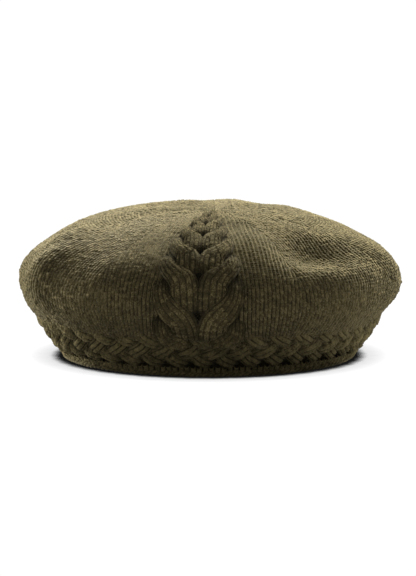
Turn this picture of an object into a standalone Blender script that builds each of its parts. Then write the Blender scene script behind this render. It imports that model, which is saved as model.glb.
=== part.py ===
# A knitted wool beret: a hollow stockinette crown, a tapering rope cable up its front made of two
# mirrored twists, a plaited headband and a rolled cast-on edge that the beret rests on.
# Metres, +Z up, the front of the beret faces -Y. The origin is on the floor, in the middle.

import math

import bmesh
import bpy
import numpy as np
from mathutils import Matrix

# Overall form
BRIM_RADIUS = 0.1030  # outer face of the knitting where it leaves the rolled edge
SEAM_RADIUS = 0.1212  # outer face where the headband meets the crown
RIM_RADIUS = 0.1390  # widest part of the crown
SEAM_HEIGHT = 0.0290
RIM_HEIGHT = 0.0560
CROWN_HEIGHT = 0.1030
TIP_SHIFT = 0.0045  # how far the gathered centre of the crown lies to the right
CLEARANCE = 0.0003  # left between pieces that touch

# Knitted walls
CROWN_WALL = 0.0030
BAND_WALL = 0.0040
BAND_SINK = 0.0012  # how far the plait's hollows lie inside the crown's outer face
EDGE_ROLL = 0.0052  # height of the rolled cast-on edge
EDGE_WIDTH = 0.0066

# Headband plait
PLAIT_PITCH = 0.0174  # along the band, from one strand to the next
PLAIT_ROWS = 3
PLAIT_STRAND = 0.0098  # width of one strand
PLAIT_RELIEF = 0.0036  # from the hollows to the top of a strand
PLAIT_DIVE = 0.0027  # how much lower a strand lies where it passes under another
RIB_ROW_HEIGHT = 0.0030  # plain ribbed row between the rolled edge and the plait

# Front cable
CABLE_TURN = -3.0  # degrees round from the front, towards the right
CABLE_HALF_WIDTH = 0.0300  # at the rim
CABLE_PITCH = 0.0262  # up the crown, from one V to the next
CABLE_START = 0.15  # how much of the lowest V the seam hides, in pitches
CABLE_LEAN = 1.20  # how far a strand climbs from the cable's middle to its edge, in pitches
CABLE_ARM = 0.58  # height of a strand at the cable's edge, in pitches
CABLE_RELIEF = 0.0054  # from the hollows to the top of a strand
CABLE_BED = 0.0018  # from the crown to the cable's hollows
CABLE_SEAT = 0.0006  # from the crown to the cable's underside
CABLE_TIP_GAP = 0.0120  # where the twists run out, short of the crown's centre

# Folds
FOLD_DEPTH = 0.0060

# Mesh fineness
AROUND = 72
CROWN_ROWS = 16
PLAIT_COLUMNS = 4  # to one pitch
PLAIT_STEPS = 3  # up one row of the plait
CABLE_ROWS_PER_PITCH = 6
CABLE_COLUMNS = 6
EDGE_SIDES = 6
CURVE_STEPS = 400
SECTION_STEPS = 40  # points between two rows of a section table

# The side wall, from the seam to the rim.
# Columns: share of the way out from seam to rim, share of the way up.
WALL_SECTION = (
    (0.00, 0.00),
    (0.24, 0.16),
    (0.50, 0.33),
    (0.76, 0.53),
    (0.94, 0.75),
    (1.00, 1.00),
)

# The top, from the rim to the centre.
# Columns: reach as a share of the rim radius, share of the way up from rim to crown.
TOP_SECTION = (
    (0.980, 0.20),
    (0.935, 0.36),
    (0.863, 0.51),
    (0.790, 0.617),
    (0.720, 0.70),
    (0.575, 0.83),
    (0.430, 0.915),
    (0.288, 0.968),
    (0.000, 1.000),
)

# Soft folds and dents of the crown.
# Columns: degrees round from the front towards the right, half-width in degrees, place and half-length
# as shares of the way from seam to centre, lift as a share of the fold depth.
FOLDS = (
    (-62, 10, 0.24, 0.23, 1.40),
    (-72, 11, 0.43, 0.13, 1.05),
    (-46, 15, 0.30, 0.22, -0.45),
    (-84, 15, 0.19, 0.18, -1.15),
    (-95, 14, 0.42, 0.16, -0.75),
    (42, 26, 0.41, 0.15, -2.05),
    (46, 24, 0.25, 0.12, 0.75),
    (24, 16, 0.50, 0.24, 0.45),
    (74, 10, 0.28, 0.24, 0.80),
    (93, 14, 0.24, 0.20, -0.60),
    (135, 40, 0.66, 0.34, 0.70),
    (160, 22, 0.40, 0.18, -0.25),
    (180, 60, 0.25, 0.20, 1.05),
    (-170, 80, 0.72, 0.36, 0.80),
    (-118, 50, 0.52, 0.30, 0.60),
    (-150, 18, 0.32, 0.22, -0.30),
)

# Colours, linear
YARN = (0.060, 0.050, 0.030, 1.0)
YARN_DARK = (0.045, 0.038, 0.024, 1.0)


def clear_scene():
    for thing in list(bpy.data.objects):
        bpy.data.objects.remove(thing)


def knit_material(name, colour):
    material = bpy.data.materials.new(name)
    material.use_nodes = True
    shader = material.node_tree.nodes["Principled BSDF"]
    shader.inputs["Base Color"].default_value = colour
    shader.inputs["Roughness"].default_value = 0.95
    shader.inputs["Metallic"].default_value = 0.0
    return material


def crown_section():
    """Radius, height and outward slope along the crown, at equal steps from seam to centre."""
    corners = [
        (
            SEAM_RADIUS + out * (RIM_RADIUS - SEAM_RADIUS),
            SEAM_HEIGHT + up * (RIM_HEIGHT - SEAM_HEIGHT),
        )
        for out, up in WALL_SECTION
    ]
    corners += [
        (reach * RIM_RADIUS, RIM_HEIGHT + up * (CROWN_HEIGHT - RIM_HEIGHT))
        for reach, up in TOP_SECTION
    ]
    points = np.array(corners)
    before = np.vstack([2 * points[0] - points[1], points[:-1]])
    after = np.vstack([points[1:], points[-1] * (1, 1) + (points[-1] - points[-2]) * (1, 0)])
    tangents = (after - before) / 2
    shares = np.linspace(0, 1, SECTION_STEPS, endpoint=False)[:, None]
    runs = []
    for start, end, leave, arrive in zip(points, points[1:], tangents, tangents[1:]):
        runs.append(
            (2 * shares**3 - 3 * shares**2 + 1) * start
            + (shares**3 - 2 * shares**2 + shares) * leave
            + (3 * shares**2 - 2 * shares**3) * end
            + (shares**3 - shares**2) * arrive
        )
    curve = np.vstack([*runs, points[-1:]])
    steps = np.hypot(*np.diff(curve, axis=0).T)
    along = np.concatenate([[0], np.cumsum(steps)])
    even = np.linspace(0, along[-1], CURVE_STEPS)
    radius = np.interp(even, along, curve[:, 0])
    height = np.interp(even, along, curve[:, 1])
    outward = np.stack([np.gradient(height), -np.gradient(radius)], axis=1)
    outward /= np.linalg.norm(outward, axis=1)[:, None]
    return along[-1], radius, height, outward


SECTION_LENGTH, SECTION_RADIUS, SECTION_HEIGHT, SECTION_OUTWARD = crown_section()
SECTION_SHARES = np.linspace(0, 1, CURVE_STEPS)
RIM_SHARE = SECTION_SHARES[int(np.argmax(SECTION_RADIUS))]


def bump(distance, half_width):
    """A smooth hump: 1 in its middle and 0 from half_width outwards."""
    return np.cos(np.clip(np.abs(distance) / half_width, 0, 1) * math.pi / 2) ** 2


def fold_lift(turn, share):
    """How far the folds push the knitting out, in metres. They leave the lowest row round."""
    lift = np.zeros(np.broadcast(turn, share).shape)
    for middle, half_width, place, half_length, height in FOLDS:
        apart = (turn - middle + 180) % 360 - 180
        lift += height * bump(apart, half_width) * bump(share - place, half_length)
    first_row = 1 / (CROWN_ROWS - 1)
    return lift * FOLD_DEPTH * np.clip(share / first_row - 1, 0, 1)


def round_point(turn, radius, height):
    """The point at a turn in degrees from the front, towards the right."""
    angle = np.radians(turn)
    return np.stack(
        np.broadcast_arrays(radius * np.sin(angle), -radius * np.cos(angle), height), axis=-1
    )


def crown_radius(share):
    return np.interp(share, SECTION_SHARES, SECTION_RADIUS)


def crown_point(turn, share, lift=0.0):
    """A point on the crown's outer face, raised by lift along the face's outward direction."""
    radius = crown_radius(share)
    height = np.interp(share, SECTION_SHARES, SECTION_HEIGHT)
    out = np.interp(share, SECTION_SHARES, SECTION_OUTWARD[:, 0])
    up = np.interp(share, SECTION_SHARES, SECTION_OUTWARD[:, 1])
    raised = lift + fold_lift(turn, share)
    point = round_point(turn, radius + out * raised, height + up * raised)
    past_rim = np.where(share > RIM_SHARE, 1 - radius / RIM_RADIUS, 0)
    point[..., 0] += TIP_SHIFT * past_rim
    return point


def wrapped_grid(name, points, material, collection, mirrored=False):
    """A grid laid on points[row, column] with its coincident edges merged, as an object."""
    rows, columns = points.shape[:2]
    mesh = bpy.data.meshes.new(name)
    bm = bmesh.new()
    bmesh.ops.create_grid(bm, x_segments=columns - 1, y_segments=rows - 1, size=1)
    for vertex, place in zip(bm.verts, points.reshape(-1, 3)):
        vertex.co = place
    bmesh.ops.remove_doubles(bm, verts=bm.verts, dist=1e-6)
    bmesh.ops.dissolve_degenerate(bm, edges=bm.edges, dist=1e-6)
    if mirrored:
        bmesh.ops.reverse_faces(bm, faces=bm.faces)
    bm.to_mesh(mesh)
    bm.free()
    mesh.materials.append(material)
    mesh.shade_smooth()
    made = bpy.data.objects.new(name, mesh)
    collection.objects.link(made)
    return made


def full_turn(count):
    """Turns all the way round, whose last one meets the first."""
    return np.linspace(-180, 180, count + 1)


def make_crown(material, collection):
    turns = full_turn(AROUND)[None, :]
    shares = np.linspace(0, 1, CROWN_ROWS)[:, None]
    crown = wrapped_grid("crown", crown_point(turns, shares), material, collection)
    wall = crown.modifiers.new("wall", "SOLIDIFY")
    wall.thickness = CROWN_WALL
    wall.offset = -1
    wall.use_even_offset = True
    return crown


def seam_directions():
    """The directions up and out of the crown's lowest row, which stands on the headband."""
    first_row = 1 / (CROWN_ROWS - 1)
    seam = np.array([SEAM_RADIUS, SEAM_HEIGHT])
    height = np.interp(first_row, SECTION_SHARES, SECTION_HEIGHT)
    up = np.array([crown_radius(first_row), height]) - seam
    up /= np.hypot(*up)
    return seam, up, np.array([up[1], -up[0]])


def band_frame():
    """The foot of the headband's hollows, its slanting length, and its directions up and out."""
    seam, seam_up, seam_out = seam_directions()
    foot = np.array([BRIM_RADIUS, EDGE_ROLL + CLEARANCE])
    head = seam - seam_up * CLEARANCE - seam_out * BAND_SINK
    length = np.hypot(*(head - foot))
    up = (head - foot) / length
    return foot, length, up, np.array([up[1], -up[0]])


def plait_count():
    """Strands of each lean round the band, a whole number."""
    middle = (BRIM_RADIUS + SEAM_RADIUS) / 2
    return round(2 * math.pi * middle / PLAIT_PITCH)


def strand_relief(aside, half_width, over, relief, dive):
    """Height of a round strand over its bed; over is 1 on top of a crossing and 0 below it."""
    rounded = np.sqrt(np.clip(1 - (aside / half_width) ** 2, 0, 1))
    return rounded * (relief - dive * (1 - over))


def plait_relief(place, row):
    """Height of the woven strands over the hollows, place in pitches round and row in rows up."""
    half_width = PLAIT_STRAND / PLAIT_PITCH / 2 * math.sqrt(2)
    best = np.zeros(np.broadcast(place, row).shape)
    for lean, start in ((1, 0.0), (-1, 0.5)):
        aside = (place + lean * row / 2 + start + 0.5) % 1 - 0.5
        over = 0.5 + 0.5 * lean * np.cos(math.pi * (row - 0.5))
        height = strand_relief(aside, half_width, over, PLAIT_RELIEF, PLAIT_DIVE)
        best = np.maximum(best, height)
    return best


def make_headband(material, collection):
    """A plaited ring whose columns of faces lean with the strand that is on top in each row."""
    foot, length, up_line, out_line = band_frame()
    seam, seam_up, seam_out = seam_directions()
    steps = PLAIT_ROWS * PLAIT_STEPS
    columns = np.arange(plait_count() * PLAIT_COLUMNS + 1) / PLAIT_COLUMNS
    heights = [0.0, *np.linspace(RIB_ROW_HEIGHT, length, steps + 1)]
    rows = []
    for step, height in enumerate(heights, start=-1):
        row = max(step, 0) / PLAIT_STEPS
        place = columns - abs((row + 1) % 2 - 1) / 2
        relief = plait_relief(place, row)
        if step == -1:
            relief = relief * 0
        if step == steps:
            relief = relief * BAND_SINK / PLAIT_RELIEF
        out = out_line + (seam_out - out_line) * height / length
        radius = foot[0] + up_line[0] * height + out[0] * relief
        level = foot[1] + up_line[1] * height + out[1] * relief
        rows.append(round_point(place * 360 / plait_count(), radius, level))
    turns = place * 360 / plait_count()
    inner_head = foot + up_line * length - seam_out * BAND_WALL
    inner_foot = foot - np.array([BAND_WALL, 0])
    rows.append(round_point(turns, np.full_like(turns, inner_head[0]), inner_head[1]))
    turns = columns * 360 / plait_count()
    rows.append(round_point(turns, np.full_like(turns, inner_foot[0]), inner_foot[1]))
    rows.append(rows[0])
    return wrapped_grid("headband", np.array(rows), material, collection)


def make_rolled_edge(material, collection):
    """The rolled cast-on edge: a soft ring, flat where it rests on the floor."""
    flat = math.cos(math.pi / EDGE_SIDES)
    size = Matrix.Diagonal((EDGE_WIDTH / 2, EDGE_ROLL / 2 / flat, 1, 1))
    upright = Matrix.Rotation(math.pi / 2, 4, "X")
    flat_below = Matrix.Rotation(math.pi / EDGE_SIDES, 4, "Z")
    place = Matrix.Translation((BRIM_RADIUS - BAND_WALL / 2, 0, EDGE_ROLL / 2))
    section = bmesh.new()
    bmesh.ops.create_circle(
        section, segments=EDGE_SIDES, radius=1, matrix=place @ upright @ size @ flat_below
    )
    mesh = bpy.data.meshes.new("rolled_edge")
    section.to_mesh(mesh)
    section.free()
    mesh.materials.append(material)
    edge = bpy.data.objects.new("rolled_edge", mesh)
    collection.objects.link(edge)
    turned = edge.modifiers.new("turned", "SCREW")
    turned.steps = AROUND
    turned.render_steps = AROUND
    turned.use_merge_vertices = True
    turned.merge_threshold = 1e-5
    turned.use_smooth_shade = True
    return edge


def cable_half_width(share):
    """The cable keeps its width on the side wall and narrows with the crown above the rim."""
    narrowing = crown_radius(share) / RIM_RADIUS
    return CABLE_HALF_WIDTH * np.where(share < RIM_SHARE, 1.0, narrowing)


def rope_relief(across, climb):
    """Height over its bed of a rope of two strands, for across from 0 (centre) to 1 (outer edge).

    Each strand comes out from under the one above at the outer edge, sweeps down to the centre and
    dives under the next, so that the two ropes together make a ladder of Vs. climb is in pitches.
    """
    below_edge = (CABLE_LEAN * across - climb) % 1
    covered = 1 - (1 - CABLE_ARM) * across
    place = np.clip(below_edge / covered, 0, 1)
    rounded_sides = 1 - (2 * across - 1) ** 4 / 2
    return CABLE_RELIEF * np.sin(math.pi * np.sqrt(place)) * rounded_sides


def make_cable_twist(name, side, material, collection):
    """One rope of the front cable, on the side (-1 left, 1 right) of the cable's middle."""
    first = CLEARANCE
    last = SECTION_LENGTH - CABLE_TIP_GAP
    lean = CABLE_LEAN * CABLE_PITCH
    step = CABLE_PITCH / CABLE_ROWS_PER_PITCH
    face = np.linspace(0, 1, CABLE_COLUMNS)
    across = np.concatenate([face, face[::-1], face[:1]])
    rows = []
    for start in np.arange(-CABLE_START * CABLE_PITCH - lean, last + step, step):
        along = np.clip(start + lean * across, first, last)
        share = along / SECTION_LENGTH
        climb = along / CABLE_PITCH + CABLE_START
        width = cable_half_width(share)
        fade = np.sqrt(np.clip((last - along) / CABLE_RELIEF, 0, 1)) * width / CABLE_HALF_WIDTH
        lift = CABLE_BED + fade * rope_relief(across, climb)
        lift[CABLE_COLUMNS : 2 * CABLE_COLUMNS] = CABLE_SEAT
        aside = CLEARANCE / 2 + across * (width - CLEARANCE / 2)
        turn = CABLE_TURN + side * np.degrees(aside / crown_radius(share))
        rows.append(crown_point(turn, share, lift))
    points = np.array(rows)
    for end in (0, -1):
        cap = points[end, : 2 * CABLE_COLUMNS].mean(axis=0)
        caps = np.broadcast_to(cap, points[:1].shape)
        points = np.concatenate([caps, points] if end == 0 else [points, caps])
    return wrapped_grid(name, points, material, collection, mirrored=side < 0)


def main():
    clear_scene()
    beret = bpy.data.collections.new("knit_beret")
    bpy.context.scene.collection.children.link(beret)
    crown_yarn = knit_material("crown_yarn", YARN)
    cable_yarn = knit_material("cable_yarn", YARN)
    band_yarn = knit_material("band_yarn", YARN_DARK)
    edge_yarn = knit_material("edge_yarn", YARN_DARK)
    make_crown(crown_yarn, beret)
    make_headband(band_yarn, beret)
    make_rolled_edge(edge_yarn, beret)
    make_cable_twist("cable_left_twist", -1, cable_yarn, beret)
    make_cable_twist("cable_right_twist", 1, cable_yarn, beret)


main()
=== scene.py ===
# Looks for a knitted wool beret: every stitch of the crown, the front cable, the plaited band and the
# rolled edge is modelled as yarn relief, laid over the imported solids. Metres, +Z up, front at -Y.
import math

import bmesh
import bpy
import numpy as np
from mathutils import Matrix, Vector
from mathutils.bvhtree import BVHTree


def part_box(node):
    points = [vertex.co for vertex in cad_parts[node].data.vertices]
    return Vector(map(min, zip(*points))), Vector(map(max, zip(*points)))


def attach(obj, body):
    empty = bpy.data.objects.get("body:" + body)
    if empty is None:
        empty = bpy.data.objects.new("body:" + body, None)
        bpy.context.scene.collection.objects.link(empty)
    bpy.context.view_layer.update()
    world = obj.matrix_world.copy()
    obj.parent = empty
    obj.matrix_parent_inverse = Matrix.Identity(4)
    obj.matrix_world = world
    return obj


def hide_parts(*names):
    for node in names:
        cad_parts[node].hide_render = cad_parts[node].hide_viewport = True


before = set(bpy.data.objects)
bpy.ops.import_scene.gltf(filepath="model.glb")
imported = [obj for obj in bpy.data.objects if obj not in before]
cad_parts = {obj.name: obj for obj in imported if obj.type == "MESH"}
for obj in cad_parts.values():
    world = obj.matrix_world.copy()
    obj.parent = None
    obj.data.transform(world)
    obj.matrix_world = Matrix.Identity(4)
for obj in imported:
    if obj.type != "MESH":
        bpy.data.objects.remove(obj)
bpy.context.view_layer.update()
dice = np.random.default_rng(11)
print("frame loaded")

# one stitch: two slanting legs that make a V
stitch = {
    "width": 0.0029,
    "height": 0.0022,
    "relief": 0.0021,
    "sink": 0.0014,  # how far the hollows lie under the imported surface
    "rise": 0.75,  # how much higher a leg ends than it starts, in rows
    "across": (0.0, 0.25, 0.5, 0.75),  # column edge, leg, middle, leg
    "up": (0.0, 0.22, 0.62),  # notch, head of the leg, its middle
    "edgeRelief": (0.0, 0.10, 0.02),
    "legRelief": (0.84, 1.0, 0.95),
    "middleRelief": (0.62, 0.84, 0.76),
    "unevenness": 0.14,
    "looseness": 0.06,  # how far single legs lean out of line, in columns
}

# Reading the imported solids

reading = {
    "ringDepth": 0.0004,  # how thick a slice counts as the lowest ring
    "mergeReach": 1e-5,
    "faceAngle": 30,
    "shapeAngle": 80,
    "roundings": 2,
}


def coordinatesOf(nodeName):
    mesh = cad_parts[nodeName].data
    spots = np.zeros(len(mesh.vertices) * 3)
    mesh.vertices.foreach_get("co", spots)
    return spots.reshape(-1, 3)


# radius and height of a node's lowest outer ring
def lowestRing(nodeName):
    spots = coordinatesOf(nodeName)
    level = spots[:, 2].min()
    ring = spots[spots[:, 2] < level + reading["ringDepth"]]
    return np.hypot(ring[:, 0], ring[:, 1]).max(), level


# a merged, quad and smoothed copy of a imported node
def smoothCopy(nodeName, name):
    bpy.ops.object.select_all(action="DESELECT")
    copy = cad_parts[nodeName].copy()
    copy.data = copy.data.copy()
    copy.name = name
    for key in list(copy.keys()):
        del copy[key]
    copy.parent = None
    bpy.context.scene.collection.objects.link(copy)
    bpy.context.view_layer.objects.active = copy
    copy.select_set(True)
    bpy.ops.object.mode_set(mode="EDIT")
    bpy.ops.mesh.select_all(action="SELECT")
    bpy.ops.mesh.remove_doubles(threshold=reading["mergeReach"])
    bpy.ops.mesh.tris_convert_to_quads(
        face_threshold=math.radians(reading["faceAngle"]),
        shape_threshold=math.radians(reading["shapeAngle"]))
    bpy.ops.object.mode_set(mode="OBJECT")
    rounding = copy.modifiers.new("rounding", "SUBSURF")
    rounding.levels = reading["roundings"]
    rounding.render_levels = reading["roundings"]
    bpy.ops.object.modifier_apply(modifier="rounding")
    return copy


# the crown's outer face, read by rays towards its middle, as a lattice over turn and length up
crownForm = {
    "aimHeight": 0.045,
    "tipShift": 0.0045,  # how far to the right of the middle the upright rays run
    "rayStart": 0.3,
    "around": 288,
    "rays": 180,
    "rows": 240,
    "tuck": 0.004,  # how far the knitting runs down behind the band
    "rounded": 0.003,  # the copy's rounded lower edge, which the rays leave out
    "smoothing": 6,
}


# where the rays from one turn after another meet the crown, from its lower edge to its centre
def crownHits(tree, seamRadius, seamHeight, turns):
    lowest = math.atan2(seamHeight + crownForm["rounded"] - crownForm["aimHeight"], seamRadius)
    tilts = np.linspace(lowest, math.pi / 2, crownForm["rays"])
    spots = np.zeros((len(turns), len(tilts), 3))
    for i, turn in enumerate(turns):
        for j, tilt in enumerate(tilts):
            away = Vector((
                math.sin(turn) * math.cos(tilt), -math.cos(turn) * math.cos(tilt), math.sin(tilt)))
            shift = crownForm["tipShift"] * (max(tilt, 0) / (math.pi / 2)) ** 2
            aim = Vector((shift, 0, crownForm["aimHeight"]))
            hit = tree.ray_cast(aim + away * crownForm["rayStart"], -away)[0]
            spots[i, j] = hit if hit else spots[i, j - 1]
    spots[:, -1] = spots[:, -1].mean(axis=0)
    return spots


def readCrown():
    seamRadius, seamHeight = lowestRing("crown")
    model = smoothCopy("crown", "crownModel")
    tree = BVHTree.FromObject(model, bpy.context.evaluated_depsgraph_get())
    bpy.data.objects.remove(model)
    turns = np.radians(np.arange(crownForm["around"]) * 360 / crownForm["around"])
    spots = crownHits(tree, seamRadius, seamHeight, turns)
    start = spots[:, 0] - spots[:, 1]
    seam = spots[:, 0] + start * ((spots[:, 0, 2] - seamHeight) / -start[:, 2])[:, None]
    spots = np.concatenate([seam[:, None], spots], axis=1)
    for _ in range(crownForm["smoothing"]):
        spots[:, 1:-1] = (spots[:, :-2] + 2 * spots[:, 1:-1] + spots[:, 2:]) / 4
        spots = (np.roll(spots, 1, axis=0) + 2 * spots + np.roll(spots, -1, axis=0)) / 4
    steps = np.linalg.norm(np.diff(spots, axis=1), axis=2).mean(axis=0)
    along = np.concatenate([[0], np.cumsum(steps)])
    even = np.linspace(0, along[-1], crownForm["rows"])
    lattice = np.zeros((len(turns), len(even), 3))
    for i in range(len(turns)):
        for axis in range(3):
            lattice[i, :, axis] = np.interp(even, along, spots[i, :, axis])
    radius = np.hypot(lattice[..., 0] - lattice[:, :, 0].mean(axis=0), lattice[..., 1]).mean(axis=0)
    up = np.gradient(lattice, axis=1)
    around = np.roll(lattice, -1, axis=0) - np.roll(lattice, 1, axis=0)
    normals = np.cross(around, up)
    normals[:, -1] = (0, 0, 1)
    normals /= np.maximum(np.linalg.norm(normals, axis=2), 1e-12)[..., None]
    normals[:, -2] = normals[:, -3]
    return lattice, normals, radius, along[-1]


crownLattice, crownNormals, crownRadii, crownLength = readCrown()
crownSteps = np.linspace(0, crownLength, crownForm["rows"])
rimAlong = crownSteps[int(np.argmax(crownRadii))]
rimRadius = crownRadii.max()
print("crown form read:", round(crownLength * 1000, 1), "mm from seam to centre")


def crownRadius(along):
    return np.interp(along, crownSteps, crownRadii)


# a point on the crown at a turn in degrees and a length up from the seam, raised by lift
def crownPoint(turn, along, lift):
    turn, along, lift = np.broadcast_arrays(turn, along, lift)
    column = (turn / 360 * crownForm["around"]) % crownForm["around"]
    first = np.floor(column).astype(int) % crownForm["around"]
    second = (first + 1) % crownForm["around"]
    share = (column - np.floor(column))[..., None]
    row = np.clip(along / crownLength, 0, 1) * (crownForm["rows"] - 1)
    lower = np.minimum(np.floor(row).astype(int), crownForm["rows"] - 2)
    climb = (row - lower)[..., None]

    def mixed(grid):
        low = grid[first, lower] * (1 - share) + grid[second, lower] * share
        high = grid[first, lower + 1] * (1 - share) + grid[second, lower + 1] * share
        return low * (1 - climb) + high * climb

    spot = mixed(crownLattice)
    normal = mixed(crownNormals)
    normal /= np.linalg.norm(normal, axis=-1)[..., None]
    below = np.minimum(along, 0)[..., None]
    slope = crownLattice[first, 1] - crownLattice[first, 0]
    slope = slope / np.linalg.norm(slope, axis=-1)[..., None]
    return spot + slope * below + normal * lift[..., None]


# slow unevenness of hand knitting: a smooth noise over turn and length
slow = {
    "waves": 14,
    "around": (2, 9),  # waves round the beret
    "upward": (12, 60),
    "stretch": 2.2,
    "phases": (0, 6.28),
}
waves = [
    (dice.uniform(*slow["around"]), dice.uniform(*slow["upward"]), dice.uniform(*slow["phases"]))
    for _ in range(slow["waves"])
]


def slowNoise(turn, along):
    total = 0
    for number, upward, phase in waves:
        total = total + np.sin(np.radians(turn) * round(number) + along * upward * slow["stretch"] + phase)
    return total / math.sqrt(len(waves))


# the grid of one piece of knitting: column and row of each corner, its relief, and its stitch's own tone
def knitPattern(columns, rows):
    parts = len(stitch["across"])
    across = (np.arange(columns)[:, None] + np.array(stitch["across"])).ravel()
    across = np.append(across, columns)
    up = (np.arange(rows)[:, None] + np.array(stitch["up"])).ravel()
    kind = np.round((across % 1) * parts).astype(int) % parts
    step = np.arange(len(up)) % len(stitch["up"])
    table = np.array([stitch["edgeRelief"], stitch["legRelief"], stitch["middleRelief"], stitch["legRelief"]])
    relief = table[kind[None, :], step[:, None]]
    uneven = dice.normal(0, stitch["unevenness"], (rows + 1, columns + 1))
    tone = dice.uniform(0, 1, (rows + 1, columns + 1))
    row = np.floor(up).astype(int)[:, None]
    column = np.floor(across).astype(int)[None, :]
    relief = relief * (1 + uneven[row, column])
    outwards = np.abs(across % 1 - 0.5) * 2
    climb = up[:, None] + outwards[None, :] * stitch["rise"]
    loose = dice.normal(0, stitch["looseness"], (rows + 1, columns + 1))
    shift = loose[row, column] * (kind % 2)[None, :]
    return across[None, :] + shift, climb, relief, tone[row, column]


# a mesh whose corners carry the two values that the yarn reads: how far out they lie, which sets the painted
# shade in the hollows, and their tone
def tonedMesh(name, corners, faces, depths, tones):
    mesh = bpy.data.meshes.new(name)
    mesh.from_pydata(corners, [], faces)
    for title, values in (("depth", depths), ("tone", tones)):
        attribute = mesh.attributes.new(title, "FLOAT", "POINT")
        attribute.data.foreach_set("value", values.astype(np.float32))
    return mesh


def wornPiece(name, mesh, material, replaced):
    mesh.shade_smooth()
    piece = bpy.data.objects.new(name, mesh)
    bpy.context.scene.collection.objects.link(piece)
    piece.data.materials.append(material)
    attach(piece, "root")
    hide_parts(*replaced)
    triangles = sum(len(p.vertices) - 2 for p in mesh.polygons)
    print(name, triangles, "triangles")


mergeReach = 2e-5  # corners of neighbouring wedges closer than this become one


# builds one mesh from several grids of corners, with their depth and tone and a map of columns and rows
def knitPiece(name, grids, material, replaced, merge=False):
    corners, faces, depths, tones, maps = [], [], [], [], []
    start = 0
    for spots, depth, tone, across, up in grids:
        rows, columns = spots.shape[:2]
        index = start + np.arange(rows * columns).reshape(rows, columns)
        quads = np.stack([index[:-1, :-1], index[:-1, 1:], index[1:, 1:], index[1:, :-1]], axis=-1)
        corners.append(spots.reshape(-1, 3))
        faces.append(quads.reshape(-1, 4))
        depths.append(np.broadcast_to(depth, (rows, columns)).ravel())
        tones.append(np.broadcast_to(tone, (rows, columns)).ravel())
        flat = np.stack(np.broadcast_arrays(across, up), axis=-1).reshape(-1, 2)
        maps.append(flat)
        start += rows * columns
    corners, faces = np.concatenate(corners), np.concatenate(faces)
    depths, tones, maps = np.concatenate(depths), np.concatenate(tones), np.concatenate(maps)
    mesh = tonedMesh(name, corners.tolist(), faces.tolist(), depths, tones)
    layer = mesh.uv_layers.new(name="stitches")
    layer.data.foreach_set("uv", maps[faces.ravel()].astype(np.float32).ravel())
    if merge:
        bm = bmesh.new()
        bm.from_mesh(mesh)
        bmesh.ops.remove_doubles(bm, verts=bm.verts, dist=mergeReach)
        bmesh.ops.dissolve_degenerate(bm, edges=bm.edges, dist=mergeReach)
        bm.to_mesh(mesh)
        bm.free()
    wornPiece(name, mesh, material, replaced)


# Materials: one heathered wool with painted shade in its hollows, in a tone for each part of the beret; the
# cable's tone is a darker copy of the main colour for painted shade and the band's a lighter copy for painted
# light

yarn = {
    "fleckSize": 0.0010,
    "fleckStrength": 0.75,
    "fleckDetail": 3.0,
    "cloudScale": 45.0,  # broad drift of tone over the knitting
    "cloudShare": 0.3,
    "stitchShare": 0.25,  # how far each stitch has a tone of its own
    "lightRange": (0.80, 1.00),
    "darkRange": (0.75, 0.52),
    "hollowShadeRange": (0.85, 0.12),
    "hollowShadeColour": (0.008, 0.007, 0.005, 1),
    "plies": 3.0,
    "twistDepth": 0.6,
    "twistScale": 0.6,
    "twistWander": 1.5,
    "fibreSize": 0.0004,
    "fibreDepth": 0.5,
    "bump": 0.5,
    "bumpHeight": 0.0003,
    "roughFrom": (0.2, 1.0),
    "roughTo": (0.98, 0.78),
    "sheenRoughness": 0.45,
    "sheenTint": (0.64, 0.57, 0.39, 1),
}
yarnColours = {
    "main": (0.058, 0.048, 0.0225, 1),
    "light": (0.130, 0.103, 0.048, 1),
    # a darker copy of the main colour, painted shade for the cable
    "cable": (0.045, 0.037, 0.0172, 1),
    # a lighter copy of the main colour, painted light for the band
    "band": (0.080, 0.067, 0.0315, 1),
    "dark": (0.016, 0.0135, 0.0065, 1),
}
# colour, lighter and darker fleck, strength of the painted shade in the hollows, sheen
wools = {
    "crownYarn": ("main", "light", "dark", 0.92, 0.18),
    "cableYarn": ("cable", "light", "dark", 0.90, 0.10),
    "bandYarn": ("band", "light", "dark", 0.92, 0.08),
    "edgeYarn": ("main", "light", "dark", 0.75, 0.20),
    "fuzzYarn": ("light", "light", "main", 0.0, 0.30),
    "insideYarn": ("main", "light", "dark", 0.80, 0.10),
}


def newGroup(name, inputs, output, outputKind):
    group = bpy.data.node_groups.new(name, "ShaderNodeTree")
    for title, kind, value in inputs:
        socket = group.interface.new_socket(title, in_out="INPUT", socket_type="NodeSocket" + kind)
        socket.default_value = value
    group.interface.new_socket(output, in_out="OUTPUT", socket_type="NodeSocket" + outputKind)
    return group, group.nodes.new("NodeGroupInput").outputs, group.nodes.new("NodeGroupOutput").inputs


# a node with its sockets set or linked, by number in a dictionary or by name
def linkedNode(tree, kind, settings=None, numbered=None, **named):
    node = tree.nodes.new(kind)
    for key, value in (settings or {}).items():
        setattr(node, key, value)
    sockets = dict(numbered or {})
    sockets.update((key.replace("_", " "), value) for key, value in named.items())
    for key, value in sockets.items():
        if isinstance(value, bpy.types.NodeSocket):
            tree.links.new(value, node.inputs[key])
        else:
            node.inputs[key].default_value = value
    return node


def maths(tree, operation, *values):
    node = linkedNode(tree, "ShaderNodeMath", {"operation": operation}, dict(enumerate(values)))
    return node.outputs[0]


def mapped(tree, value, before=(0, 1), after=(0, 1), kind="LINEAR"):
    numbered = dict(enumerate((value, *before, *after)))
    return linkedNode(tree, "ShaderNodeMapRange", {"interpolation_type": kind}, numbered).outputs[0]


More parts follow.
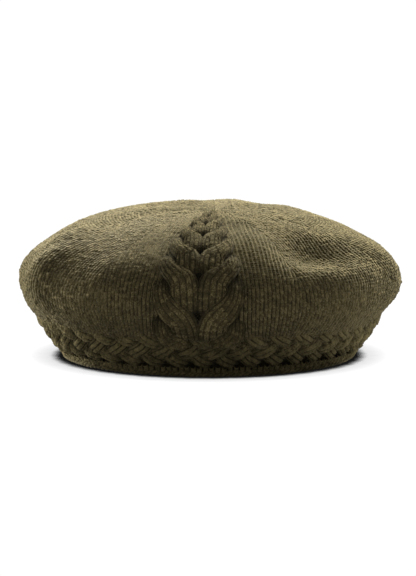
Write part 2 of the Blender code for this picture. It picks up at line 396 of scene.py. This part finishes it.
def blended(tree, share, first, second):
    numbered = {0: share, 6: first, 7: second}
    return linkedNode(tree, "ShaderNodeMix", {"data_type": "RGBA"}, numbered).outputs[2]


def attributeOf(tree, name):
    return linkedNode(tree, "ShaderNodeAttribute", {"attribute_name": name}).outputs["Fac"]


# heathered yarn: the main colour flecked with a lighter and a darker one, with painted shade darkening the
# hollows
def makeHeatherAndShade():
    group, ins, outs = newGroup("heatherAndShade", [
        ("Colour", "Color", yarnColours["main"]),
        ("Light", "Color", yarnColours["light"]),
        ("Dark", "Color", yarnColours["dark"]),
        ("Fleck Size", "Float", yarn["fleckSize"]),
        ("Fleck Strength", "Float", yarn["fleckStrength"]),
        ("Hollow Darkness", "Float", 0.7),
    ], "Colour", "Color")
    place = linkedNode(group, "ShaderNodeTexCoord").outputs["Object"]
    density = maths(group, "DIVIDE", 1.0, ins["Fleck Size"])
    fine = linkedNode(group, "ShaderNodeTexNoise", Vector=place, Scale=density, Detail=yarn["fleckDetail"])
    broad = linkedNode(group, "ShaderNodeTexNoise", Vector=place, Scale=yarn["cloudScale"], Detail=2.0)
    tone = maths(group, "MULTIPLY_ADD", attributeOf(group, "tone"), yarn["stitchShare"], fine.outputs[0])
    tone = maths(group, "MULTIPLY_ADD", broad.outputs[0], yarn["cloudShare"], tone)
    lightShare = maths(group, "MULTIPLY", mapped(group, tone, yarn["lightRange"]), ins["Fleck Strength"])
    darkShare = maths(group, "MULTIPLY", mapped(group, tone, yarn["darkRange"]), ins["Fleck Strength"])
    # painted shade: the hollows, read from each corner's depth, are blended towards a near-black colour
    hollowShadeMask = mapped(group, attributeOf(group, "depth"), yarn["hollowShadeRange"], kind="SMOOTHSTEP")
    hollowShadeShare = maths(group, "MULTIPLY", hollowShadeMask, ins["Hollow Darkness"])
    colour = blended(group, lightShare, ins["Colour"], ins["Light"])
    colour = blended(group, darkShare, colour, ins["Dark"])
    colour = blended(group, hollowShadeShare, colour, yarn["hollowShadeColour"])
    group.links.new(colour, outs["Colour"])
    return group


# the twist of the plies and the loose fibres on them, as a height
def makeTwist():
    group, ins, outs = newGroup("plyTwist", [
        ("Plies", "Float", yarn["plies"]),
        ("Twist Depth", "Float", yarn["twistDepth"]),
        ("Fibre Size", "Float", yarn["fibreSize"]),
        ("Fibre Depth", "Float", yarn["fibreDepth"]),
    ], "Height", "Float")
    flat = linkedNode(group, "ShaderNodeTexCoord").outputs["UV"]
    place = linkedNode(group, "ShaderNodeTexCoord").outputs["Object"]
    scale = linkedNode(group, "ShaderNodeCombineXYZ", X=ins["Plies"], Y=ins["Plies"], Z=1.0)
    turned = linkedNode(
        group, "ShaderNodeVectorMath", {"operation": "MULTIPLY"}, {0: flat, 1: scale.outputs[0]})
    twist = linkedNode(
        group, "ShaderNodeTexWave", {"wave_type": "BANDS", "bands_direction": "DIAGONAL"},
        Vector=turned.outputs[0], Scale=yarn["twistScale"], Distortion=yarn["twistWander"], Detail=1.0)
    density = maths(group, "DIVIDE", 1.0, ins["Fibre Size"])
    fibres = linkedNode(group, "ShaderNodeTexNoise", Vector=place, Scale=density, Detail=4.0, Roughness=0.7)
    twisted = maths(group, "MULTIPLY", twist.outputs[1], ins["Twist Depth"])
    both = maths(group, "MULTIPLY_ADD", fibres.outputs[0], ins["Fibre Depth"], twisted)
    group.links.new(both, outs["Height"])
    return group


heatherAndShade = makeHeatherAndShade()
plyTwist = makeTwist()


def woolMaterial(name, colour, light, dark, hollowShade, sheen):
    material = bpy.data.materials.new(name)
    material.use_nodes = True
    tree = material.node_tree
    shader = tree.nodes["Principled BSDF"]
    shader.inputs["Sheen Weight"].default_value = sheen
    shader.inputs["Sheen Roughness"].default_value = yarn["sheenRoughness"]
    shader.inputs["Sheen Tint"].default_value = yarn["sheenTint"]
    shader.inputs["Specular IOR Level"].default_value = 0.0
    flecksAndShade = linkedNode(
        tree, "ShaderNodeGroup", {"node_tree": heatherAndShade}, Colour=yarnColours[colour],
        Light=yarnColours[light], Dark=yarnColours[dark], Hollow_Darkness=hollowShade)
    height = linkedNode(tree, "ShaderNodeGroup", {"node_tree": plyTwist}).outputs["Height"]
    bump = linkedNode(
        tree, "ShaderNodeBump", Strength=yarn["bump"], Distance=yarn["bumpHeight"], Height=height)
    rough = mapped(tree, height, yarn["roughFrom"], yarn["roughTo"])
    tree.links.new(flecksAndShade.outputs["Colour"], shader.inputs["Base Color"])
    tree.links.new(rough, shader.inputs["Roughness"])
    tree.links.new(bump.outputs[0], shader.inputs["Normal"])
    return material


yarns = {name: woolMaterial(name, *settings) for name, settings in wools.items()}
print("yarns ready:", len(yarns))

# Crown: wedges of plain knitting whose columns run into the decrease lines between them

crown = {
    "cableTurn": -3.0,
    "cableHalfWidth": 0.0300,
    "cableOverlap": 0.002,  # how far the side wedges run under the cable
    "goreTurn": 37.275,  # degrees from one decrease line to the next
    "firstLine": 30.9,  # degrees from the cable's middle to the first decrease line
    "middles": (49.54, 86.81, 124.09, 161.36),  # degrees from the cable's middle to each wedge's
    "sideColumnsLess": 9,
    "wander": 0.0006,
    "wanderStart": 6,  # how soon the wander sets in beside a decrease line, in seam fades
    "wanderRadius": 0.02,
    "billow": 0.0007,
    "billowTurn": 40,
    "calmCentre": 0.035,  # inside this radius the unevenness fades out
    "gatherSink": 0.0003,
    "softTop": 0.50,  # how far the gaps between columns close on the stretched top
    "softReach": 0.038,
    "softRelief": 0.75,
    "seamFade": 0.0006,  # how far from a decrease line the stitches have their full depth
    "seamRelief": 0.4,
    "seamStart": 0.15,
    "leastRadius": 1e-4,
}


def cableHalfTurn(along):
    width = crown["cableHalfWidth"] * np.minimum(1, crownRadius(np.maximum(along, 0)) / rimRadius)
    width = np.where(along < rimAlong, crown["cableHalfWidth"], width)
    return np.degrees(width / np.maximum(crownRadius(along), crown["leastRadius"]))


def crownBillow(turn, along):
    return slowNoise(turn + crown["billowTurn"], along) * crown["billow"]


# the radius that a wedge's columns are laid out on: they stay upright below the rim
def layoutRadius(along):
    radius = np.maximum(crownRadius(along), crown["leastRadius"])
    return np.where(along < rimAlong, rimRadius, radius)


# one wedge of knitting; turnAt gives the turn for a place across and a length up
def wedge(columns, turnAt):
    rows = int((crownLength + crownForm["tuck"]) / stitch["height"]) - 1
    across, climb, relief, tone = knitPattern(columns, rows)
    along = np.minimum(climb * stitch["height"] - crownForm["tuck"], crownLength)
    along[-1] = crownLength  # the last row is drawn together at the centre
    turn, inside = turnAt(across, along)
    along, turn = np.broadcast_arrays(along, turn)
    wander = slowNoise(turn, along) * crown["wander"] / np.maximum(crownRadius(along), crown["wanderRadius"])
    turn = turn + np.degrees(wander) * np.clip(inside / crown["wanderStart"], 0, 1)
    full = np.clip(inside + crown["seamStart"], 0, 1)
    height = crown["seamRelief"] + (relief - crown["seamRelief"]) * full
    worn = np.clip((along - rimAlong) / crown["softReach"], 0, 1) * crown["softTop"]
    height = height * (1 - worn) + worn * crown["softRelief"]
    calm = np.clip(crownRadius(along) / crown["calmCentre"], 0, 1)
    lift = height * stitch["relief"] - stitch["sink"] + crownBillow(turn, along) * calm
    lift[-1] = -crown["gatherSink"]
    return crownPoint(turn, along, lift), relief * (1 - worn) + worn, tone, across, climb


def fullWedge(middle):
    halfTurn = crown["goreTurn"] / 2
    columns = round(math.radians(crown["goreTurn"]) * rimRadius / stitch["width"])
    width = math.radians(crown["goreTurn"]) * rimRadius / columns

    def turnAt(across, along):
        radius = layoutRadius(along)
        offset = np.degrees((across - columns / 2) * width / radius)
        inside = np.maximum(np.radians(halfTurn - np.abs(offset)) * radius / crown["seamFade"], 0)
        return crown["cableTurn"] + middle + np.clip(offset, -halfTurn, halfTurn), inside

    return wedge(columns, turnAt)


# the narrow wedge between the cable and the first decrease line, on the side -1 or 1
def sideWedge(side):
    line = crown["firstLine"]
    columns = round(math.radians(line) * rimRadius / stitch["width"]) - crown["sideColumnsLess"]

    def turnAt(across, along):
        radius = layoutRadius(along)
        inner = columns - across if side < 0 else across
        beside = (inner * stitch["width"] - crown["cableOverlap"]) / radius
        offset = cableHalfTurn(along) + np.degrees(beside)
        inside = np.maximum(np.radians(line - offset) * radius / crown["seamFade"], 0)
        return crown["cableTurn"] + side * np.minimum(offset, line), inside

    return wedge(columns, turnAt)


firstMiddle, secondMiddle, thirdMiddle, lastMiddle = crown["middles"]
wedges = {
    "crown_front_left": [sideWedge(-1), fullWedge(-firstMiddle)],
    "crown_front_right": [sideWedge(1), fullWedge(firstMiddle)],
    "crown_side_left": [fullWedge(-secondMiddle), fullWedge(-thirdMiddle)],
    "crown_side_right": [fullWedge(secondMiddle), fullWedge(thirdMiddle)],
    "crown_back": [fullWedge(-lastMiddle), fullWedge(lastMiddle)],
}
for name, grids in wedges.items():
    knitPiece(name, grids, yarns["crownYarn"], ["crown"], merge=True)

# the crown's shell under the stitches, with its inner face open to the head
shell = {
    "outerLift": -0.0013,
    "innerLift": -0.0030,
    "around": 145,
    "rows": 70,
    "columns": 290,  # stitches round the inner face, for the twist of its yarn
    "rowSpan": 1.4,
    # the shell's low depth paints shade on it, seen through the gaps between the stitches and on its inner
    # face
    "depth": 0.35,
    "tone": 0.5,
}


def crownShell():
    turns = np.linspace(0, 360, shell["around"])[None, :]
    along = np.linspace(0, crownLength, shell["rows"])[:, None]
    outer = crownPoint(turns, along, shell["outerLift"])
    inner = crownPoint(turns, along, shell["innerLift"])[::-1]
    spots = np.concatenate([inner, outer])
    rows = np.arange(len(spots))[:, None]
    return spots, shell["depth"], shell["tone"], turns / 360 * shell["columns"], rows * shell["rowSpan"]


knitPiece("crown_inside", [crownShell()], yarns["insideYarn"], ["crown"], merge=True)

# loose fibres that stand off the crown: thin three-sided hairs, each with a bend
fuzz = {
    "count": 8000,
    "length": 0.0046,
    "shortest": 0.4,
    "standOff": 0.0018,
    "lowest": 0.3,
    "thickness": 0.00007,
    "taper": 0.8,
    "start": -0.0006,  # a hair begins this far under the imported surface, inside the stitches
    "bend": 1.3,
    "curl": 1.5,
    "fromSeam": 0.002,
    "toCentre": 0.004,
    "leastRadius": 0.012,
    "darkest": 0.4,
    # corners 0 to 2 at the foot, 3 to 5 at the middle, 6 at the tip
    "faces": [(0, 1, 2), (1, 0, 3, 4), (2, 1, 4, 5), (0, 2, 5, 3), (4, 3, 6), (5, 4, 6), (3, 5, 6)],
}


def crownFuzz():
    along = dice.uniform(fuzz["fromSeam"], crownLength - fuzz["toCentre"], fuzz["count"] * 3)
    along = along[dice.uniform(0, 1, len(along)) < crownRadius(along) / rimRadius][:fuzz["count"]]
    turn = dice.uniform(0, 360, len(along))
    heading = dice.uniform(0, 2 * math.pi, len(along))
    bend = dice.normal(0, fuzz["bend"], len(along))
    reach = fuzz["length"] * dice.uniform(fuzz["shortest"], 1, len(along))
    top = fuzz["standOff"] * dice.uniform(fuzz["lowest"], 1, len(along))
    radius = np.maximum(crownRadius(along), fuzz["leastRadius"])

    def hairAt(share):
        way = heading + bend * share
        sideways = turn + np.degrees(np.sin(way) * reach * share / radius)
        upward = along + np.cos(way) * reach * share
        lift = fuzz["start"] + crownBillow(sideways, upward) + top * share ** fuzz["curl"]
        return crownPoint(sideways, upward, lift)

    foot, middle, tip = hairAt(0), hairAt(0.5), hairAt(1)
    direction = tip - foot
    direction /= np.linalg.norm(direction, axis=1)[:, None]
    side = np.cross(direction, foot - np.array([0, 0, crownForm["aimHeight"]]))
    side /= np.linalg.norm(side, axis=1)[:, None]
    other = np.cross(side, direction)
    corners = []
    for spot, share in ((foot, 1), (middle, fuzz["taper"])):
        for angle in (0, 2 * math.pi / 3, 4 * math.pi / 3):
            offset = side * math.cos(angle) + other * math.sin(angle)
            corners.append(spot + offset * fuzz["thickness"] * share)
    corners = np.stack(corners + [tip], axis=1)
    size = corners.shape[1]
    faces = [
        tuple(size * hair + corner for corner in face)
        for hair in range(len(along)) for face in fuzz["faces"]
    ]
    tones = np.repeat(dice.uniform(fuzz["darkest"], 1, len(along)), size)
    return corners.reshape(-1, 3).tolist(), faces, np.ones(len(tones)), tones


wornPiece("crown_fuzz", tonedMesh("crown_fuzz", *crownFuzz()), yarns["fuzzYarn"], [])

# a rounded strand of knitting, for the cable and the plait
strandForm = {
    "wrap": 84,  # degrees that its back turns to each side
    "edgeSink": 0.0012,
    "leastDome": 0.1,  # how dark the painted shade makes its sides
    "leastRaised": 0.35,  # how dark the painted shade makes its ends where they dive
}


# lays a strand along a line; placeAt turns a place across, a place up and a lift into a point
def knitStrand(line, widths, rises, piece, placeAt, leans=0):
    steps = np.linalg.norm(np.diff(line, axis=0), axis=1)
    travelled = np.concatenate([[0], np.cumsum(steps)])
    rows = max(3, int(travelled[-1] / stitch["height"]))
    across, climb, relief, tone = knitPattern(piece["columns"], rows)
    along = np.clip(climb / rows, 0, 1) * travelled[-1]
    spread = math.radians(strandForm["wrap"]) * (across / piece["columns"] * 2 - 1)
    middle = np.stack([np.interp(along, travelled, line[:, axis]) for axis in (0, 1)], axis=-1)
    slope = np.gradient(line, axis=0)
    slope /= np.linalg.norm(slope, axis=1)[:, None]
    facing = np.stack([np.interp(along, travelled, slope[:, axis]) for axis in (0, 1)], axis=-1)
    offset = np.sin(spread) * np.interp(along, travelled, widths) / 2
    dome = np.cos(spread) ** piece["fullness"]
    softness = piece["softness"]
    ridge = (relief - 0.5) * stitch["relief"] * (1 - softness / 2)
    lift = np.interp(along, travelled, rises) * dome + ridge - strandForm["edgeSink"] * (1 - dome)
    lift = lift + np.interp(along, travelled, np.broadcast_to(leans, rises.shape)) * np.sin(spread)
    x = middle[..., 0] + facing[..., 1] * offset
    y = middle[..., 1] - facing[..., 0] * offset
    # painted shade: the depth is lowered on the strand's sides and where it dives under another, so the yarn
    # darkens them
    raised = np.clip(np.interp(along, travelled, rises) / rises.max(), 0, 1)
    raised = strandForm["leastRaised"] + (1 - strandForm["leastRaised"]) * raised
    shaded = strandForm["leastDome"] + (1 - strandForm["leastDome"]) * dome
    depth = (softness + (1 - softness) * relief) * shaded * raised
    return placeAt(x, y, lift), depth, tone, across, climb


# a smooth curve through the rows of a short table
def smoothRows(table, count):
    table = np.array(table, float)
    place = np.linspace(0, len(table) - 1, count)
    first = np.minimum(place.astype(int), len(table) - 2)
    share = (place - first)[:, None]
    slopes = np.gradient(table, axis=0)
    a, b = table[first], table[first + 1]
    return (
        a * (1 + 2 * share) * (1 - share) ** 2 + b * share ** 2 * (3 - 2 * share)
        + slopes[first] * share * (1 - share) ** 2 - slopes[first + 1] * share ** 2 * (1 - share)
    )


# Cable: pairs of knitted strands that sweep in from the sides, meet in a V and dive under the next pair

cable = {
    "pitch": 0.0262,
    "start": -0.11,  # height of the lowest V's tip, in pitches above the seam
    "count": 9,
    "tipGap": 0.004,
    "tuck": 0.004,  # how far the lowest strands run down behind the band
    "groundTuck": 0.003,
    "rise": 0.0052,
    "columns": 7,
    "steps": 60,
    "leastSize": 0.35,
    "groundSink": 0.0002,
    "groundRelief": 0.8,
    # the ground's low depth paints shade on it between the strands
    "groundDepth": 0.3,
    "fullness": 0.55,  # how quickly a strand's back falls off to its sides
    "softness": 0.35,  # how far the gaps between its stitch columns are closed
    # share of the half width from the middle, pitches above the V's tip, then width, rise and
    # inward lean as shares
    "strand": [
        (0.88, 1.16, 0.26, -0.40, 0.0),
        (0.88, 0.93, 0.36, 0.20, 0.0),
        (0.87, 0.70, 0.42, 0.80, 0.0),
        (0.81, 0.47, 0.48, 1.10, 0.0),
        (0.68, 0.26, 0.54, 1.25, 0.0),
        (0.51, 0.09, 0.60, 1.28, 0.0),
        (0.37, -0.10, 0.68, 1.20, 0.30),
        (0.33, -0.34, 0.74, 1.05, 0.45),
        (0.31, -0.57, 0.72, 0.90, 0.55),
        (0.30, -0.78, 0.66, 0.45, 0.50),
        (0.28, -0.96, 0.54, -0.60, 0.40),
    ],
}


def cableWidth(along):
    return crown["cableHalfWidth"] * np.where(along < rimAlong, 1, crownRadius(along) / rimRadius)


def cablePoint(x, y, lift):
    y = np.clip(y, -cable["groundTuck"], crownLength - cable["tipGap"])
    turn = crown["cableTurn"] + np.degrees(x / crownRadius(np.maximum(y, 0)))
    return crownPoint(turn, y, lift)


def cableStrand(number, side):
    table = smoothRows(cable["strand"], cable["steps"])
    y = (number + cable["start"] + table[:, 1]) * cable["pitch"]
    kept = (y > -cable["tuck"]) & (y < crownLength - cable["tipGap"])
    table, y = table[kept], y[kept]
    width = cableWidth(y)
    shrink = np.clip(width / crown["cableHalfWidth"], cable["leastSize"], 1)
    line = np.stack([side * table[:, 0] * width, y], axis=1)
    rises = table[:, 3] * cable["rise"] * shrink
    leans = table[:, 4] * cable["rise"] * shrink * side
    return knitStrand(line, table[:, 2] * width, rises, cable, cablePoint, leans)


def cableGround():
    columns = round(2 * crown["cableHalfWidth"] / stitch["width"])
    rows = int(crownLength / stitch["height"]) - 1
    across, climb, relief, tone = knitPattern(columns, rows)
    along = climb * stitch["height"] - cable["groundTuck"]
    x = (across / columns * 2 - 1) * cableWidth(along)
    lift = relief * stitch["relief"] * cable["groundRelief"] - cable["groundSink"] - stitch["sink"]
    return cablePoint(x, along, lift), relief * cable["groundDepth"], tone, across, climb


groundNodes = ["cable_left_twist", "cable_right_twist"]
knitPiece("cable_ground", [cableGround()], yarns["cableYarn"], groundNodes, merge=True)
for side, title in ((-1, "left"), (1, "right")):
    strands = [cableStrand(number, side) for number in range(cable["count"])]
    knitPiece("cable_" + title, strands, yarns["cableYarn"], ["cable_" + title + "_twist"])

# Headband: two sets of knitted strands woven over and under, a rib row below them and the rolled edge

seamRadius, seamHeight = lowestRing("crown")
footRadius, footHeight = lowestRing("headband")
bandLength = math.hypot(seamRadius - footRadius, seamHeight - footHeight)
band = {
    "wall": 0.0040,
    "ribRow": 0.0042,
    "plaitRows": 3,
    "pitch": 0.0174,
    "swing": 0.10,  # how much flatter a strand lies where it is on top, in pitches
    "strandWidth": 0.0106,
    "endWidth": 0.75,
    "rise": 0.0052,
    "lowestRise": 0.55,  # how flat the lowest lobes lie, to leave the rib row in view
    "dive": 0.0047,
    "endSink": 0.0008,
    "columns": 4,
    "ribs": 156,
    "overlap": 0.0014,  # how far the plait reaches over the crown
    "below": 0.18,  # how far the strands run on below the plait, in plait rows
    "above": 0.12,
    "reach": 0.75,  # how far the upper lobes run on up the crown, in plait rows
    "straight": 0.1,  # where they stop slanting, in plait rows under the top
    "endFade": 3.5,
    "reachFade": 1.6,
    "steps": 56,
    "fullness": 0.6,
    "softness": 0.15,
    "coreSink": 0.0016,
    "headSink": 0.0036,  # how far the band's upper edge draws in under the crown
    "coreAround": 241,
    "coreRows": 12,
    "coreOver": 0.001,
    # the core's low depth paints shade on it where it shows between the strands and inside
    "coreDepth": 0.2,
    "coreTone": 0.5,
    "coreRowSpan": 1.2,
}
band["count"] = round(math.pi * (seamRadius + footRadius) / band["pitch"])


def bandPoint(turn, height, lift):
    turn, height, lift = np.broadcast_arrays(np.radians(turn), height, lift)
    leanOut = (seamRadius - footRadius) / bandLength
    leanUp = (seamHeight - footHeight) / bandLength
    lift = lift - band["headSink"] * height / bandLength
    radius = footRadius + leanOut * height + leanUp * lift
    level = footHeight + leanUp * height - leanOut * lift
    return np.stack([radius * np.sin(turn), -radius * np.cos(turn), level], axis=-1)


def plaitStrand(number, lean, start):
    upwards = lean > 0
    top = band["plaitRows"] + (band["reach"] if upwards else band["above"])
    row = np.linspace(-band["below"], top, band["steps"])
    woven = np.minimum(row, band["plaitRows"] - band["straight"])
    place = number - lean * woven / 2 - start - band["swing"] * np.sin(math.pi * (woven - 0.5))
    rowHeight = bandLength + band["overlap"] - band["ribRow"]
    height = band["ribRow"] + row * rowHeight / band["plaitRows"]
    over = 0.5 + 0.5 * lean * np.cos(math.pi * (woven - 0.5))
    topFade = band["reachFade"] if upwards else band["endFade"]
    ends = np.clip((row + band["below"]) * band["endFade"], 0, 1) * np.clip((top - row) * topFade, 0, 1)
    low = band["lowestRise"] + (1 - band["lowestRise"]) * np.clip(row, 0, 1)
    rises = (band["rise"] * low - band["dive"] * (1 - over)) * ends - band["endSink"] * (1 - ends)
    line = np.stack([place * band["pitch"], height], axis=1)
    widths = band["strandWidth"] * (band["endWidth"] + (1 - band["endWidth"]) * ends)

    def placeAt(x, y, lift):
        return bandPoint(x / band["pitch"] * 360 / band["count"], y, lift)

    return knitStrand(line, widths, rises, band, placeAt)


def bandCore():
    turns = np.linspace(0, 360, band["coreAround"])[None, :]
    heights = np.linspace(-band["ribRow"], bandLength + band["coreOver"], band["coreRows"])[:, None]
    outer = bandPoint(turns, heights, -band["coreSink"])
    inner = bandPoint(turns, heights, -band["wall"])[::-1]
    spots = np.concatenate([outer, inner, outer[:1]])
    rows = np.arange(len(spots))[:, None]
    return spots, band["coreDepth"], band["coreTone"], turns / 360 * band["ribs"], rows * band["coreRowSpan"]


# the plain ribbed row between the plait and the edge
ribs = {
    "rows": 3,
    "climb": 3.75,  # rows and the rise of the last leg
    "over": 0.0024,
    "under": 0.0012,
    "relief": 0.0024,
    "lift": 0.0010,
}


def ribRow():
    across, climb, relief, tone = knitPattern(band["ribs"], ribs["rows"])
    height = climb / ribs["climb"] * (band["ribRow"] + ribs["over"]) - ribs["under"]
    turn = across / band["ribs"] * 360
    spots = bandPoint(turn, height, relief * ribs["relief"] + ribs["lift"])
    return spots, relief, tone, across, climb


# the cast-on edge, a tube of stitches that slant round it
edge = {
    "rows": 9,
    "slant": 0.5,
    "leastRelief": 0.2,
    "relief": 0.26,
    "fill": 0.94,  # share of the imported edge's height that the tube takes before its relief
    "floorGap": 0.00005,
}


def rolledEdge():
    lowest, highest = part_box("rolled_edge")
    halfHeight = (highest.z - lowest.z) / 2
    middle = footRadius - band["wall"] / 2
    halfWidth = highest.x - middle
    across, climb, relief, tone = knitPattern(band["ribs"], edge["rows"])
    relief = edge["leastRelief"] + (1 - edge["leastRelief"]) * relief
    along = climb / edge["rows"] * 2 * math.pi
    turn = np.radians((across + climb * edge["slant"]) / band["ribs"] * 360)
    size = 1 + (relief - 0.5) * edge["relief"]
    radius = middle - np.cos(along) * halfWidth * size
    level = np.maximum(halfHeight * (1 - edge["fill"] * np.sin(along) * size), edge["floorGap"])
    spots = np.stack([radius * np.sin(turn), -radius * np.cos(turn), level], axis=-1)
    return spots, relief, tone, across, climb


knitPiece("band_core", [bandCore()], yarns["insideYarn"], ["headband"], merge=True)
leans = {"plait_left_lean": (1, 0.0), "plait_right_lean": (-1, 0.5)}
for name, (lean, start) in leans.items():
    strands = [plaitStrand(number, lean, start) for number in range(band["count"])]
    knitPiece(name, strands, yarns["bandYarn"], ["headband"])
knitPiece("rib_row", [ribRow()], yarns["bandYarn"], ["headband"], merge=True)
knitPiece("rolled_edge_stitches", [rolledEdge()], yarns["edgeYarn"], ["rolled_edge"], merge=True)

# Stage: floor, lights and camera

studio = {
    "distance": 3.0,
    "elevation": 7.8,
    "pixelsPerMetre": 1400.0,
    "frameWidth": 416,
    "frameHeight": 576,
    "floorMiddleX": 208.7,  # where the floor under the beret's middle lies in the picture
    "floorMiddleY": 354.5,
    "sensor": 36,
    "farthest": 50,
    "floorSize": 12,
    "floorWhite": 1.03,  # the paper as the camera sees it, just past white
    "floorBounce": 0.62,  # how much light the floor throws back at the beret
    "contactShadowReach": 0.013,  # how near the floor feels the beret, for the painted contact shadow
    "contactShadowRange": (0.40, 0.72),
    "contactShadowDark": 0.01,
    "shadowReach": 0.022,  # the same for the painted soft shadow round it
    "shadowRange": (0.5, 0.98),
    "shadowTone": 0.80,
    "air": 0.29,  # light from all round
    # place, aim, size and power of each light
    "lights": {
        "topBox": ((0.45, 1.30, 0.98), (0, 0, 0.05), (1.5, 0.6), 225),
        "leftBox": ((-1.45, 1.1, 0.35), (0, 0, 0.06), (0.4, 0.6), 110),
        "rightBox": ((1.4, 1.3, 0.5), (0, 0, 0.06), (0.4, 0.6), 30),
        "frontBox": ((-0.3, -1.6, 1.2), (0, 0, 0.05), (1.2, 0.8), 6),
    },
}


def makeCamera():
    camera = bpy.data.objects.new("camera", bpy.data.cameras.new("camera"))
    bpy.context.scene.collection.objects.link(camera)
    tilt = math.radians(studio["elevation"])
    up = Vector((0, math.sin(tilt), math.cos(tilt)))
    back = Vector((0, -math.cos(tilt), math.sin(tilt)))
    right = (studio["frameWidth"] / 2 - studio["floorMiddleX"]) / studio["pixelsPerMetre"]
    above = (studio["floorMiddleY"] - studio["frameHeight"] / 2) / studio["pixelsPerMetre"]
    camera.location = Vector((right, 0, 0)) + up * above + back * studio["distance"]
    camera.rotation_euler = (math.pi / 2 - tilt, 0, 0)
    camera.data.sensor_width = studio["sensor"]
    focus = studio["pixelsPerMetre"] * studio["distance"] / studio["frameHeight"]
    camera.data.lens = studio["sensor"] * focus
    camera.data.clip_end = studio["farthest"]
    bpy.context.scene.camera = camera


def areaLight(name, place, aim, size, power):
    light = bpy.data.objects.new(name, bpy.data.lights.new(name, "AREA"))
    light.data.shape = "RECTANGLE"
    light.data.size, light.data.size_y = size
    light.data.energy = power
    light.location = place
    light.rotation_euler = (Vector(aim) - Vector(place)).to_track_quat("-Z", "Y").to_euler()
    bpy.context.scene.collection.objects.link(light)


# white paper: the camera sees its glow, darkened by a painted contact shadow and a painted soft shadow near
# the beret, and all else sees a pale floor
def paperMaterial():
    paper = bpy.data.materials.new("paper")
    paper.use_nodes = True
    tree = paper.node_tree
    shader = tree.nodes["Principled BSDF"]
    shader.inputs["Roughness"].default_value = 1.0
    shader.inputs["Specular IOR Level"].default_value = 0.0
    shader.inputs["Emission Color"].default_value = (1, 1, 1, 1)
    seen = linkedNode(tree, "ShaderNodeLightPath").outputs["Is Camera Ray"]
    near = linkedNode(tree, "ShaderNodeAmbientOcclusion", Distance=studio["contactShadowReach"])
    around = linkedNode(tree, "ShaderNodeAmbientOcclusion", Distance=studio["shadowReach"])
    # painted contact shadow and painted soft shadow, from ambient occlusion, darken the paper's glow
    contactShadow = mapped(tree, near.outputs["AO"], studio["contactShadowRange"], (studio["contactShadowDark"], 1.0))
    shadow = mapped(
        tree, around.outputs["AO"], studio["shadowRange"], (studio["shadowTone"], studio["floorWhite"]))
    glow = maths(tree, "MULTIPLY", seen, maths(tree, "MULTIPLY", contactShadow, shadow))
    tone = mapped(tree, seen, after=(studio["floorBounce"], 0.0))
    tree.links.new(tone, shader.inputs["Base Color"])
    tree.links.new(glow, shader.inputs["Emission Strength"])
    return paper


def makeStudio():
    bpy.ops.object.select_all(action="DESELECT")
    bpy.ops.mesh.primitive_plane_add(size=studio["floorSize"], location=(0, 0, 0))
    floor = bpy.context.active_object
    floor.name = "floor"
    floor.data.materials.append(paperMaterial())
    world = bpy.data.worlds.new("studioAir")
    world.use_nodes = True
    background = world.node_tree.nodes["Background"]
    background.inputs["Color"].default_value = (1, 1, 1, 1)
    seen = linkedNode(world.node_tree, "ShaderNodeLightPath").outputs["Is Camera Ray"]
    strength = mapped(world.node_tree, seen, after=(studio["air"], studio["floorWhite"]))
    world.node_tree.links.new(strength, background.inputs["Strength"])
    bpy.context.scene.world = world
    for name, settings in studio["lights"].items():
        areaLight(name, *settings)
    bpy.context.scene.view_settings.view_transform = "Standard"


makeStudio()
makeCamera()
print("studio and camera set")
